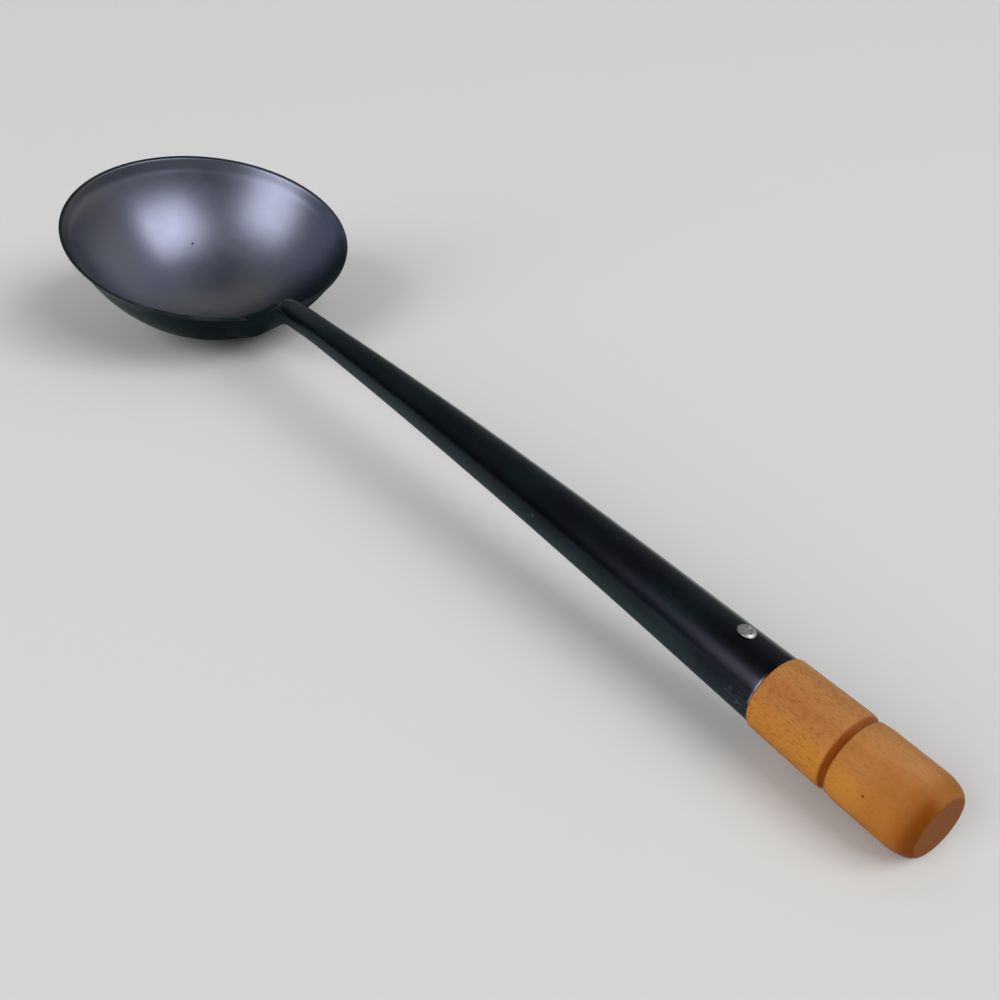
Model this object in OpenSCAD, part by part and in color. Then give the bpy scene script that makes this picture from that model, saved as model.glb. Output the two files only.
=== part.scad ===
// Wok ladle: a round pressed-steel bowl, a tapered handle rolled from sheet steel,
// and a short turned wooden grip that a nail holds in the handle's open end.
// It lies as it does on a table, on the bottom of the bowl and the end of the grip.
// X runs along the handle, Z is up, and sizes are in millimetres.

/* [Bowl] */
// Outside diameter of the bowl at its rim
bowl_d = 120; // [100:1:140]
// Depth from the rim to the underside of the bowl
bowl_depth = 40.5; // [34:0.5:48]
// Thickness of the bowl's sheet steel
bowl_wall = 1.2; // [0.8:0.1:2]
// How far the pressed hollow sits towards the handle from the rim's centre
hollow_offset = 2.5; // [0:0.5:4]
// Narrowest width of the flared lip, beside the handle
lip_w = 0.5; // [0.3:0.1:3]
// Slope of the lip around the hollow, in degrees
lip_angle = 32; // [20:1:40]

/* [Handle tube] */
// Outside diameter of the tube at its root on the bowl
root_d = 8.5; // [7:0.1:12]
// Outside diameter of the tube at the grip
tube_d = 20.9; // [17:0.1:26]
// Thickness of the tube's sheet steel
tube_wall = 1.2; // [0.8:0.1:1.6]
// Height of the neck's centre line at the bowl wall, from the middle of the rim
root_z = -3.4; // [-6:0.1:-2]
// Gap between the end of the neck and the bowl, which the weld bridges
root_gap = 0.5; // [0.4:0.1:1]
// Angle at which the underside of the neck meets the bowl's wall, in degrees
neck_meet = 11.5; // [8:0.5:18]
// Straight length of the neck before its bend
neck_l = 7.8; // [5:0.1:14]
// Bend radius of the neck's centre line
neck_bend = 28; // [18:1:45]
// Slope of the shank where the neck's bend ends, in degrees from the hollow's level
shank_angle = 13.3; // [11:0.1:20]
// Slope of the grip, in degrees from the hollow's level
grip_angle = 9.3; // [6:0.1:10.5]
// Length of the gently bowed shank
shank_l = 213.5; // [150:0.5:280]
// Length of the straight socket that takes the grip's tenon
socket_l = 40; // [36:1:60]

/* [Neck seam] */
// Length of the open part of the rolled seam at the neck
mouth_l = 18; // [8:1:24]
// Direction of the open seam around the neck, in degrees from the top
mouth_angle = 52; // [35:1:70]
// Half width of the open seam around the neck, in degrees
mouth_spread = 17; // [8:1:25]
// Gap between the bowl's rim and the rolled top of the neck
tongue_gap = 2.2; // [0.5:0.1:4]

/* [Neck weld] */
// Length of the weld fillet along the neck
weld_neck_leg = 5; // [2:0.5:7]
// Length of the weld fillet along the bowl
weld_bowl_leg = 4.5; // [2:0.5:7]
// Clearance between the weld and the sheets it joins
weld_gap = 0.05; // [0.02:0.01:0.2]

/* [Grip] */
// Diameter of the grip at the tube
grip_front_d = 22.1; // [19:0.1:28]
// Diameter of the grip's rear half
grip_d = 23.1; // [20:0.1:30]
// Length of the grip outside the tube
grip_l = 53.4; // [40:0.1:90]
// Distance of the turned groove from the tube
groove_pos = 25.8; // [12:0.1:32]
// Radius of the groove's round section
groove_r = 1.6; // [1:0.1:2.5]
// Depth of the groove
groove_depth = 1.2; // [0.5:0.1:2]
// Rounding of the grip's end
end_r = 4; // [2:0.5:7]
// Rounding of the grip's edge at the tube
shoulder_r = 0.8; // [0.3:0.1:1.5]
// Length of the tenon inside the tube
tenon_l = 32; // [24:1:36]
// Clearance around the tenon
tenon_gap = 0.1; // [0.05:0.05:0.3]
// Gap between the tube's end and the grip's shoulder
joint_gap = 0.05; // [0.02:0.01:0.2]

/* [Nail] */
// Distance of the nail from the tube's end
nail_pos = 13.8; // [8:0.1:20]
// Diameter of the nail's head
nail_head_d = 5.2; // [3.5:0.1:7]
// Height of the nail's head
nail_head_h = 1.1; // [0.6:0.1:2]
// Diameter of the nail's shank
nail_d = 2.4; // [1.6:0.1:3]
// Length of the nail's shank below its head
nail_l = 13; // [8:0.5:16]
// Clearance around the nail in the tube and the grip
nail_gap = 0.05; // [0.02:0.01:0.2]

/* [Hidden] */
$fn = 96;

steel_color = "#2b2f33";
tube_color = "#1d2326";
weld_color = "#24292c";
wood_color = "#b9763c";
nail_color = "#b9bcbd";

deg = 180 / PI;

// The bowl: a spherical hollow with a flared lip around it, trimmed to a round rim off its centre.
// The origin is at the middle of the rim.
rim_r = bowl_d / 2;
lip_rise = tan(lip_angle);
lip_edge_h = bowl_wall / cos(lip_angle);
crease_r = rim_r - hollow_offset - lip_w;
crease_z = -(rim_r - crease_r) * lip_rise - lip_edge_h;
hollow_h = bowl_depth + crease_z;
hollow_r = (crease_r * crease_r + hollow_h * hollow_h) / (2 * hollow_h);
hollow_c = [hollow_offset, 0, hollow_r - bowl_depth];
far_rim_z = crease_z + (rim_r + hollow_offset - crease_r) * lip_rise;

// The neck leaves the wall at the lean that brings its underside onto the hollow at neck_meet
root_r = root_d / 2;
root_x = hollow_offset + sqrt(pow(hollow_r, 2) - pow(hollow_c[2] - root_z, 2));
wall_angle = asin((root_x - hollow_offset) / hollow_r);
neck_lean = acos(((hollow_r + root_gap) * cos(neck_meet) - root_r) / hollow_r);
neck_angle = wall_angle - neck_lean;

// The handle's centre line in the plane of symmetry, as lengths along it
bend_l = neck_bend * (neck_angle - shank_angle) / deg;
bow_r = shank_l * deg / (shank_angle - grip_angle);
bend_s = neck_l + bend_l;
bow_s = bend_s + shank_l;
tube_s = bow_s + socket_l;
taper = (tube_d / 2 - root_r) / tube_s;

function dir(a) = [cos(a), sin(a)];
function arc_step(r, a0, a1) = r * [sin(a0) - sin(a1), cos(a1) - cos(a0)];
root_p = [root_x, root_z];
bend_p = root_p + neck_l * dir(neck_angle);
bow_p = bend_p + arc_step(neck_bend, neck_angle, shank_angle);
socket_p = bow_p + arc_step(bow_r, shank_angle, grip_angle);
joint_p = socket_p + socket_l * dir(grip_angle);

function line_angle(s) =
    s < neck_l ? neck_angle :
    s < bend_s ? neck_angle - (s - neck_l) / neck_bend * deg :
    s < bow_s ? shank_angle - (s - bend_s) / bow_r * deg :
    grip_angle;
function line_point(s) =
    s < neck_l ? root_p + s * dir(neck_angle) :
    s < bend_s ? bend_p + arc_step(neck_bend, neck_angle, line_angle(s)) :
    s < bow_s ? bow_p + arc_step(bow_r, shank_angle, line_angle(s)) :
    socket_p + (s - bow_s) * dir(grip_angle);
function tube_r(s) = root_r + taper * s;

// A point at the angle phi around the centre line, from the top towards -Y
function around(s, phi, r) =
    let (p = line_point(s), a = line_angle(s))
    [p[0] - r * cos(phi) * sin(a), -r * sin(phi), p[1] + r * cos(phi) * cos(a)];

// Where the straight side of the neck meets a sphere just outside the bowl
function cope_s(phi, inset) =
    let (p0 = around(0, phi, root_r - inset) - hollow_c)
    let (v = around(1, phi, root_r - inset + taper) - hollow_c - p0)
    let (b = v * p0, q = v * v)
    let (c = p0 * p0 - pow(hollow_r + root_gap, 2))
    (-b + sqrt(b * b - q * c)) / q;

// Resting pose: one line touches the hollow's circle and the round of the grip's end
end_p = joint_p + (joint_gap + grip_l) * dir(grip_angle);
end_low = end_p - end_r * dir(grip_angle) - (grip_d / 2 - end_r) * dir(grip_angle + 90);
end_high = end_p - end_r * dir(grip_angle) + (grip_d / 2 - end_r) * dir(grip_angle + 90);
span = end_low - [hollow_c[0], hollow_c[2]];
rest_angle = atan2(span[1], span[0]) + asin((hollow_r - end_r) / norm(span));
rest_z = hollow_r - hollow_c[2] * cos(rest_angle) + hollow_c[0] * sin(rest_angle);
far_x = -rim_r * cos(rest_angle) + far_rim_z * sin(rest_angle);
near_x = end_high[0] * cos(rest_angle) + end_high[1] * sin(rest_angle) + end_r;
middle_x = (far_x + near_x) / 2;

module at_rest() {
    translate([-middle_x, 0, rest_z]) rotate([0, rest_angle, 0]) children();
}

// The grip's own axis: +Z leaves the tube, and the origin is on the tube's end
module at_joint() {
    translate([joint_p[0], 0, joint_p[1]]) rotate([0, 90 - grip_angle, 0]) children();
}

// Along the nail, with +Z out of the handle's top
nail_seat = tube_r(tube_s - nail_pos + nail_head_d / 2) + nail_gap;
module at_nail() {
    at_joint() translate([0, 0, -nail_pos]) rotate([0, -90, 0]) children();
}

module nail_hole() {
    translate([0, 0, nail_seat - nail_l - nail_gap]) cylinder(d = nail_d + 2 * nail_gap, h = nail_l + tube_wall);
}

// Triangles between two neighbouring rings of n points, the first ring starting at a
function ring_faces(a, b, n, closed) = [
    for (j = [0 : n - (closed ? 1 : 2)])
        let (k = (j + 1) % n)
        each [[a + j, b + j, b + k], [a + j, b + k, a + k]]
];

// Half section of the pressed sheet about the hollow's axis, wide enough to trim the rim from
module bowl_profile() {
    wide = rim_r + hollow_offset + 1;
    inner = crease_r - 4 * bowl_wall;
    top = bowl_d;
    difference() {
        union() {
            intersection() {
                translate([0, hollow_c[2]]) circle(r = hollow_r);
                translate([0, -bowl_depth - 1]) square([wide, hollow_h + 1 + bowl_wall]);
            }
            polygon([
                [0, crease_z - (crease_r - inner) * lip_rise],
                [inner, crease_z - (crease_r - inner) * lip_rise],
                [wide, crease_z + (wide - crease_r) * lip_rise],
                [wide, top],
                [0, top]
            ]);
        }
        translate([0, hollow_c[2]]) circle(r = hollow_r - bowl_wall);
        polygon([
            [0, crease_z + lip_edge_h - (crease_r - inner) * lip_rise],
            [inner, crease_z + lip_edge_h - (crease_r - inner) * lip_rise],
            [wide + 1, crease_z + lip_edge_h + (wide + 1 - crease_r) * lip_rise],
            [wide + 1, top + 1],
            [0, top + 1]
        ]);
    }
}

module bowl() {
    color(steel_color) at_rest() intersection() {
        translate([hollow_offset, 0, 0]) rotate([0, 0, 90]) rotate_extrude() bowl_profile();
        translate([0, 0, -bowl_depth - 1]) cylinder(r = rim_r, h = bowl_depth + rim_r);
    }
}

// The rolled tube: two skins of rings, open at both ends
tube_sides = 48;
neck_rings = 14;
shank_rings = 10;
open_s = bend_s + mouth_l;
function bump(x, w) = exp(-pow(x / w, 2));
function upper(phi) = pow(max(0, cos(phi / 2)), 3);
function wrap(phi) = phi > 180 ? phi - 360 : phi;
function mouth(phi) =
    tongue_gap * upper(wrap(phi)) + mouth_l * bump(wrap(phi) - mouth_angle, mouth_spread);
function ring_s(i, start) =
    i < neck_rings ? start + (open_s - start) * i / neck_rings :
    open_s + (tube_s - open_s) * (i - neck_rings) / shank_rings;
function skin_points(inset) = [
    for (i = [0 : neck_rings + shank_rings])
        for (j = [0 : tube_sides - 1])
            let (phi = 360 * j / tube_sides)
            let (s = ring_s(i, cope_s(phi, inset) + mouth(phi)))
            around(s, phi, tube_r(s) - inset)
];

module rolled_tube() {
    n = tube_sides;
    rings = neck_rings + shank_rings;
    inner = (rings + 1) * n;
    points = concat(skin_points(0), skin_points(tube_wall));
    outside = [for (i = [0 : rings - 1]) each ring_faces(i * n, (i + 1) * n, n, true)];
    inside = [for (i = [0 : rings - 1]) each ring_faces(inner + (i + 1) * n, inner + i * n, n, true)];
    root_end = ring_faces(inner, 0, n, true);
    grip_end = ring_faces(rings * n, inner + rings * n, n, true);
    polyhedron(points, concat(outside, inside, root_end, grip_end));
}

module handle_tube() {
    color(tube_color) at_rest() difference() {
        rolled_tube();
        at_nail() nail_hole();
    }
}

// The weld fillet runs under the neck from one side of the open seam to the other side
weld_from = 100;
weld_to = 262;
weld_steps = 36;
weld_curve = 7;
weld_back = 3;
function swell(t) = 0.16 + 0.84 * sin(180 * t);
function on_bowl(p, lift) = hollow_c + (hollow_r + lift) * (p - hollow_c) / norm(p - hollow_c);
function bowl_foot(phi, reach) =
    let (s = cope_s(phi, 0))
    let (c = around(s, phi, tube_r(s)))
    let (n = (c - hollow_c) / norm(c - hollow_c))
    let (out = around(s, phi, 1) - around(s, phi, 0))
    let (flat = out - (out * n) * n)
    on_bowl(c + reach * flat / norm(flat), weld_gap);
function neck_foot(phi, reach) =
    let (s = cope_s(phi, 0) + reach)
    around(s, phi, tube_r(s) + weld_gap);
function weld_section(t) =
    let (phi = weld_from + (weld_to - weld_from) * t)
    let (a = neck_foot(phi, weld_neck_leg * swell(t)))
    let (b = bowl_foot(phi, weld_bowl_leg * swell(t)))
    let (m = (2 * neck_foot(phi, 0) + a + b) / 4)
    concat(
        [for (k = [0 : weld_curve]) let (u = k / weld_curve) pow(1 - u, 2) * a + 2 * u * (1 - u) * m + u * u * b],
        [for (k = [1 : weld_back]) bowl_foot(phi, weld_bowl_leg * swell(t) * (1 - k / weld_back) + 0.3 * k / weld_back)],
        [for (k = [1 : weld_back - 1]) neck_foot(phi, weld_neck_leg * swell(t) * k / weld_back)]
    );

module neck_weld() {
    n = weld_curve + 2 * weld_back;
    points = [for (i = [0 : weld_steps]) each weld_section(i / weld_steps)];
    sides = [for (i = [0 : weld_steps - 1]) each ring_faces(i * n, (i + 1) * n, n, true)];
    first = [for (j = [1 : n - 2]) [0, j, j + 1]];
    end = weld_steps * n;
    last = [for (j = [1 : n - 2]) [end, end + j + 1, end + j]];
    color(weld_color) at_rest() polyhedron(points, concat(sides, first, last));
}

// The grip is turned in one piece: a tenon, a front half, a groove and a rear half
module grip_profile() {
    front_r = grip_front_d / 2;
    rear_r = grip_d / 2;
    tenon_r = tube_d / 2 - tube_wall - tenon_gap;
    edge = shoulder_r * (1 - sin(45));
    difference() {
        union() {
            polygon([
                [0, -tenon_l],
                [tenon_r - taper * tenon_l - 1, -tenon_l],
                [tenon_r - taper * (tenon_l - 1), -tenon_l + 1],
                [tenon_r, joint_gap],
                [front_r - shoulder_r, joint_gap],
                [front_r - edge, joint_gap + edge],
                [front_r, joint_gap + shoulder_r],
                [rear_r, joint_gap + groove_pos],
                [rear_r, joint_gap + grip_l - end_r],
                [rear_r - end_r, joint_gap + grip_l - end_r],
                [rear_r - end_r, joint_gap + grip_l],
                [0, joint_gap + grip_l]
            ]);
            intersection() {
                translate([rear_r - end_r, joint_gap + grip_l - end_r]) circle(r = end_r);
                translate([rear_r - end_r - 1, joint_gap + grip_l - end_r - 1]) square(2 * end_r);
            }
        }
        translate([rear_r + groove_r - groove_depth, joint_gap + groove_pos]) circle(r = groove_r);
    }
}

module grip() {
    color(wood_color) at_rest() difference() {
        at_joint() rotate_extrude() grip_profile();
        at_nail() nail_hole();
    }
}

module grip_nail() {
    dome_r = (pow(nail_head_d / 2, 2) + pow(nail_head_h, 2)) / (2 * nail_head_h);
    color(nail_color) at_rest() at_nail() {
        intersection() {
            translate([0, 0, nail_seat + nail_head_h - dome_r]) sphere(r = dome_r);
            translate([0, 0, nail_seat]) cylinder(d = nail_head_d, h = nail_head_h);
        }
        translate([0, 0, nail_seat - nail_l]) cylinder(d = nail_d, h = nail_l + nail_head_h / 2);
    }
}

bowl();
handle_tube();
neck_weld();
grip();
grip_nail();
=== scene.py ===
import bmesh
import bpy
import numpy as np
from mathutils import Matrix, Vector


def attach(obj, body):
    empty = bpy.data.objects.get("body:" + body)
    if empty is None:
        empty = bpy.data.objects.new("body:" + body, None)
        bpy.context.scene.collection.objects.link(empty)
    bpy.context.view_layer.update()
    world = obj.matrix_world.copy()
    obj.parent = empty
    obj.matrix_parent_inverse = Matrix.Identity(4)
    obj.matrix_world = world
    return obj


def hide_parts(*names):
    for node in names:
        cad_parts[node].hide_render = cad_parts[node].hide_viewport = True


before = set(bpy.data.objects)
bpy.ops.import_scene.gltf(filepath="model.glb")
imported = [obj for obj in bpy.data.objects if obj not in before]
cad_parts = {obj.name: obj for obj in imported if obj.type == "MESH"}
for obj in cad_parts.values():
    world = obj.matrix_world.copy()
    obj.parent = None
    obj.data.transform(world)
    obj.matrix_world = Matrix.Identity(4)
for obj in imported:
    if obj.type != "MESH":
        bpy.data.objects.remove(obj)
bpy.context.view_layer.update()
print("frame loaded:", ", ".join(sorted(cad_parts)))

scene = bpy.context.scene
scene.view_settings.view_transform = "Standard"
degree = 180 / np.pi
mergeGap = 2e-6  # points closer than this, in metres, become one

# in all pieces lengths are in mm, angles in degrees, and a pair is a span that a change is spread over,
# unless a note says otherwise

# how the ladle lies on the table: the bowl's tilt, its rim's height, and how far along the ladle's middle is
lying = {"tilt": 14.3791, "rimHeight": 41.8026, "middle": 163.1853}


def atRest(points):
    # turns points about Y by the tilt, lifts them to the rim height, centres them, and gives metres
    tilt = np.radians(lying["tilt"])
    x, y, z = points[..., 0], points[..., 1], points[..., 2]
    along = x * np.cos(tilt) + z * np.sin(tilt) - lying["middle"]
    height = z * np.cos(tilt) - x * np.sin(tilt) + lying["rimHeight"]
    return np.stack([along, y, height], -1) / 1000


def gridQuads(rows, columns, closeRows, closeColumns):
    # four neighbours of a rows x columns grid make a quad, and a closed direction joins last to first
    index = np.arange(rows * columns).reshape(rows, columns)
    if closeRows:
        index = np.vstack([index, index[:1]])
    if closeColumns:
        index = np.hstack([index, index[:, :1]])
    corners = [index[:-1, :-1], index[1:, :-1], index[1:, 1:], index[:-1, 1:]]
    return np.stack(corners, -1).reshape(-1, 4)


def skinPiece(name, points, closeRows=False, closeColumns=True, marks=None):
    # puts a (rows, columns, 3) grid into a mesh with its marks as attributes,
    # closes the poles and turns the faces outward
    quads = gridQuads(*points.shape[:2], closeRows, closeColumns)
    mesh = bpy.data.meshes.new(name)
    mesh.from_pydata(points.reshape(-1, 3).tolist(), [], quads.tolist())
    for key, values in (marks or {}).items():
        layer = mesh.attributes.new(key, "FLOAT", "POINT")
        layer.data.foreach_set("value", np.ascontiguousarray(values, np.float32).ravel())
    shell = bmesh.new()
    shell.from_mesh(mesh)
    bmesh.ops.remove_doubles(shell, verts=shell.verts, dist=mergeGap)
    bmesh.ops.recalc_face_normals(shell, faces=shell.faces)
    shell.to_mesh(mesh)
    shell.free()
    mesh.polygons.foreach_set("use_smooth", np.ones(len(mesh.polygons), bool))
    piece = bpy.data.objects.new(name, mesh)
    scene.collection.objects.link(piece)
    print("made", name, "with", len(mesh.polygons), "faces")
    return piece


def stitch(*parts):
    # joins arrays end to end along their first direction
    return np.concatenate(parts, 0)


def smoothLower(a, b, width):
    # the lower of two heights, rounded over the given width where they cross
    return 0.5 * (a + b - np.sqrt((a - b) ** 2 + width**2))


def bell(x, width):
    # bell curve: one at the middle, falling off over the width
    return np.exp(-((x / width) ** 2))


def ease(x, low, high):
    # zero below low, one above high, smooth between
    t = np.clip((x - low) / (high - low), 0, 1)
    return t * t * (3 - 2 * t)


def between(x, rise, fall):
    # eased in over the first span and out again over the second
    return ease(x, *rise) * (1 - ease(x, *fall))


def turnFrom(angle, middle):
    # the angle as seen from a middle one, from half a turn back to half a turn on
    return (angle - middle + 180) % 360 - 180


# bowl: a spherical hollow whose lip flares out around it, trimmed to a round rim off the hollow's centre
bowl = {
    "rimRadius": 60.0,
    "depth": 40.5,
    "wall": 1.2,
    "offset": 2.5,
    "lipWidth": 0.5,
    "lipAngle": 32.0,
    "creaseSoft": 1.6,
    "spunFrom": 50.0,
    "spunSlope": 0.95,
    "spunShare": 0.7,
    "farFrom": (30.0, 75.0),
    "farTo": (190.0, 235.0),
    "farRise": (5.0, 32.0),
    "farLip": 0.3,
    "farSoft": 0.4,
    "ripple": 0.35,
    "rippleR": 57.0,
    "rippleWidth": 0.9,
    "edgeRound": 0.42,
    "edgePower": 2.6,
    "edgeInside": 0.4,
    "capShare": 0.8,
    "capRows": 80,
    "lipRows": 64,
    "edgeRows": 11,
    "sides": 240,
    "pit": (34.0, 164.0),  # distance from the rim's axis, and angle
    # its finish and its painted light and shade change over x and y, In from the rim (negative inwards), and
    # From and To angles around it
    "greyX": (-26.0, 6.0),
    "greyY": (14.0, 44.0),
    "greyNear": (4.0, 36.0),
    "greyNearShare": 0.8,
    # darkX: darker towards the handle, partly the steel's own tone and partly a painted dark reflection
    "darkX": (4.0, 33.0),
    "darkSlant": 0.35,
    "darkSlantR": 42.0,
    # ring: a painted dark reflection in a band below the far rim
    "ringIn": (-4.6, -2.4),
    "ringFrom": (160.0, 195.0),
    "ringTo": (262.0, 290.0),
    "ringShare": 0.5,
    # line: painted shade along the rim's top edge, where its highlight would be
    "lineIn": (-1.8, -1.0),
    "lineFrom": (120.0, 165.0),
    "lineLeast": 0.3,
    # warm: a painted reflection of the table on the outside just under the near rim
    "warmIn": (-5.5, -1.0),
    "warmFrom": (255.0, 270.0),
    "warmTo": (290.0, 312.0),
    # the outside towards the neck is painted as shade
    "paintedShadeTo": (25.0, 70.0),
    "wornWidth": 0.3,
    "wornShare": 0.12,
    "wornDepth": 4.0,
    # glint: a painted highlight on the rim beside the neck, carried in the worn mark with the real wear
    "glintWidth": 0.6,
    "glintAngle": 347.0,
    "glintSpread": 2.6,
}
lipRise = np.tan(np.radians(bowl["lipAngle"]))
lipHeight = bowl["wall"] / np.cos(np.radians(bowl["lipAngle"]))
creaseR = bowl["rimRadius"] - bowl["offset"] - bowl["lipWidth"]
creaseZ = -(bowl["rimRadius"] - creaseR) * lipRise - lipHeight
rimSlope = bowl["offset"] * lipRise / bowl["rimRadius"]
hollowH = bowl["depth"] + creaseZ
hollowR = (creaseR**2 + hollowH**2) / (2 * hollowH)
hollowC = np.array([bowl["offset"], 0.0, hollowR - bowl["depth"]])


def bowlHeight(rho, inset):
    # the hollow's sphere inset by the wall, and the lip's cone lifted by its share of it:
    # the lower one, softly
    sphere = hollowC[2] - np.sqrt(np.maximum((hollowR - inset) ** 2 - rho**2, 0))
    cone = creaseZ + (rho - creaseR) * lipRise + lipHeight * inset / bowl["wall"]
    return smoothLower(sphere, cone, bowl["creaseSoft"])


def spunHeight(rho, last):
    # the inside's upper wall: most of it one cubic sweep,
    # from the sphere's slope to a lip steeper than the cone
    low = bowl["spunFrom"]
    inner = hollowR - bowl["wall"]
    zLow, zHigh = bowlHeight(low, bowl["wall"]), bowlHeight(last, bowl["wall"])
    slope, reach = low / np.sqrt(inner**2 - low**2), last - low
    t = np.clip((rho - low) / reach, 0, 1)
    ends = (1 + 2 * t) * (1 - t) ** 2 * zLow + t * t * (3 - 2 * t) * zHigh
    sweep = ends + reach * (t * (1 - t) ** 2 * slope - t * t * (1 - t) * bowl["spunSlope"])
    plain = bowlHeight(rho, bowl["wall"])
    return np.where(rho > low, plain + bowl["spunShare"] * (sweep - plain), plain)


def plainHeight(x, y, inset):
    # a sphere through the whole rim and the bowl's lowest point, inset by the wall,
    # and sloping down towards the handle with the rim
    radius = (bowl["rimRadius"] ** 2 + bowl["depth"] ** 2) / (2 * bowl["depth"])
    sphere = radius - bowl["depth"] - np.sqrt(np.maximum((radius - inset) ** 2 - x**2 - y**2, 0))
    return sphere - x * rimSlope


def bowlMarks(x, y, z, rho, upper, angle, inside):
    # how much of each finish and of each painted light or shade a point has: products of eased spans over its
    # place, its way in and its angle
    worn = bowl["wornShare"] * bell(upper, bowl["wornWidth"])
    # a painted highlight beside the neck, added to the rim's real wear
    glint = bell(upper, bowl["glintWidth"]) * bell(angle - bowl["glintAngle"], bowl["glintSpread"])
    worn = (worn + glint) * (np.abs(z) < bowl["wornDepth"])
    grey = ease(x, *bowl["greyX"]) * (1 - ease(y, *bowl["greyY"]))
    grey = np.maximum(grey, bowl["greyNearShare"] * ease(-y, *bowl["greyNear"]))
    # darker towards the handle: partly the steel's own tone, partly a painted dark reflection
    slant = bowl["darkSlant"] * np.maximum(rho - bowl["darkSlantR"], 0)
    # a painted dark reflection in a band below the far rim
    ring = ease(upper, *bowl["ringIn"]) * between(angle, bowl["ringFrom"], bowl["ringTo"])
    # painted shade along the rim's top edge
    line = bowl["lineLeast"] + (1 - bowl["lineLeast"]) * ease(angle, *bowl["lineFrom"])
    line = line * ease(upper, *bowl["lineIn"])
    dark = np.maximum.reduce([ease(x - slant, *bowl["darkX"]), line, bowl["ringShare"] * ring])
    outer = np.where(inside > 0, 0.0, 1.0)
    # a painted reflection of the table under the near rim
    warmReflection = outer * between(angle, bowl["warmFrom"], bowl["warmTo"]) * ease(upper, *bowl["warmIn"])
    # the scale mark: painted shade on the outside towards the neck
    scale = outer * (1 - ease(np.abs(turnFrom(angle, 0)), *bowl["paintedShadeTo"]))
    return {"inside": inside, "worn": worn, "dark": dark, "grey": grey, "warmReflection": warmReflection, "scale": scale}


def makeBowl():
    # runs from the middle of the hollow over the lip and round the rim's edge to the middle of the underside:
    # upright to the rim along its far side, flared along the near side and beside the neck
    turn = np.linspace(0, 2 * np.pi, bowl["sides"], endpoint=False)[None, :]
    swing = bowl["rimRadius"] ** 2 - (bowl["offset"] * np.sin(turn)) ** 2
    rim = np.sqrt(swing) - bowl["offset"] * np.cos(turn)
    edge = bowl["edgeRound"]
    polar = np.linspace(0, bowl["capShare"], bowl["capRows"])[:, None] * np.arcsin(creaseR / hollowR)
    lip = np.linspace(0, 1, bowl["lipRows"])[1:, None]
    farSide = between(turn * degree, bowl["farFrom"], bowl["farTo"])

    def rings(inset):
        cap = (hollowR - inset) * np.sin(polar) + 0 * turn
        return stitch(cap, cap[-1:] + (rim - edge - cap[-1:]) * lip)

    def around(rho):
        return hollowC[0] + rho * np.cos(turn), rho * np.sin(turn)

    def bent(rho, upright, flared):
        return upright + (1 - farSide * ease(rho, *bowl["farRise"])) * (flared - upright)

    rhoIn, rhoOut = rings(bowl["wall"]), rings(0.0)
    x, y = around(rhoIn)
    r = np.hypot(x, y)
    top = (r - bowl["rimRadius"]) * bowl["farLip"] - x * rimSlope
    upright = smoothLower(plainHeight(x, y, bowl["wall"]), top, bowl["farSoft"])
    upright = upright - bowl["ripple"] * bell(r - bowl["rippleR"], bowl["rippleWidth"])
    zIn = bent(rhoIn, upright, spunHeight(rhoIn, rim - edge))
    zOut = bent(rhoOut, plainHeight(*around(rhoOut), 0.0), bowlHeight(rhoOut, 0.0))
    half = np.linspace(1, -1, bowl["edgeRows"])[1:-1, None]
    bulge = (1 - np.abs(half) ** bowl["edgePower"]) ** (1 / bowl["edgePower"])
    rhoEdge = rim - edge + edge * bulge
    zEdge = (zIn[-1:] + zOut[-1:]) / 2 + half * (zIn[-1:] - zOut[-1:]) / 2 + edge * bulge * lipRise
    rho = stitch(rhoIn, rhoEdge, rhoOut[::-1])
    z = stitch(zIn, zEdge, zOut[::-1])
    rows = [len(rhoIn), len(rhoEdge), len(rhoOut)]
    inside = np.repeat([1.0, bowl["edgeInside"], 0.0], rows)[:, None] + 0 * rho
    x, y = around(rho)
    marks = bowlMarks(x, y, z, rho, rho - rim, turn * degree, inside)
    return skinPiece("bowlShell", atRest(np.stack([x, y, z], -1)), marks=marks)


def pitPlace():
    # where the small pit lies: on the inside's plain sphere, at its distance and angle
    rho, angle = bowl["pit"][0], np.radians(bowl["pit"][1])
    x, y = rho * np.cos(angle), rho * np.sin(angle)
    return atRest(np.array([x, y, plainHeight(x, y, bowl["wall"])]))


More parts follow.
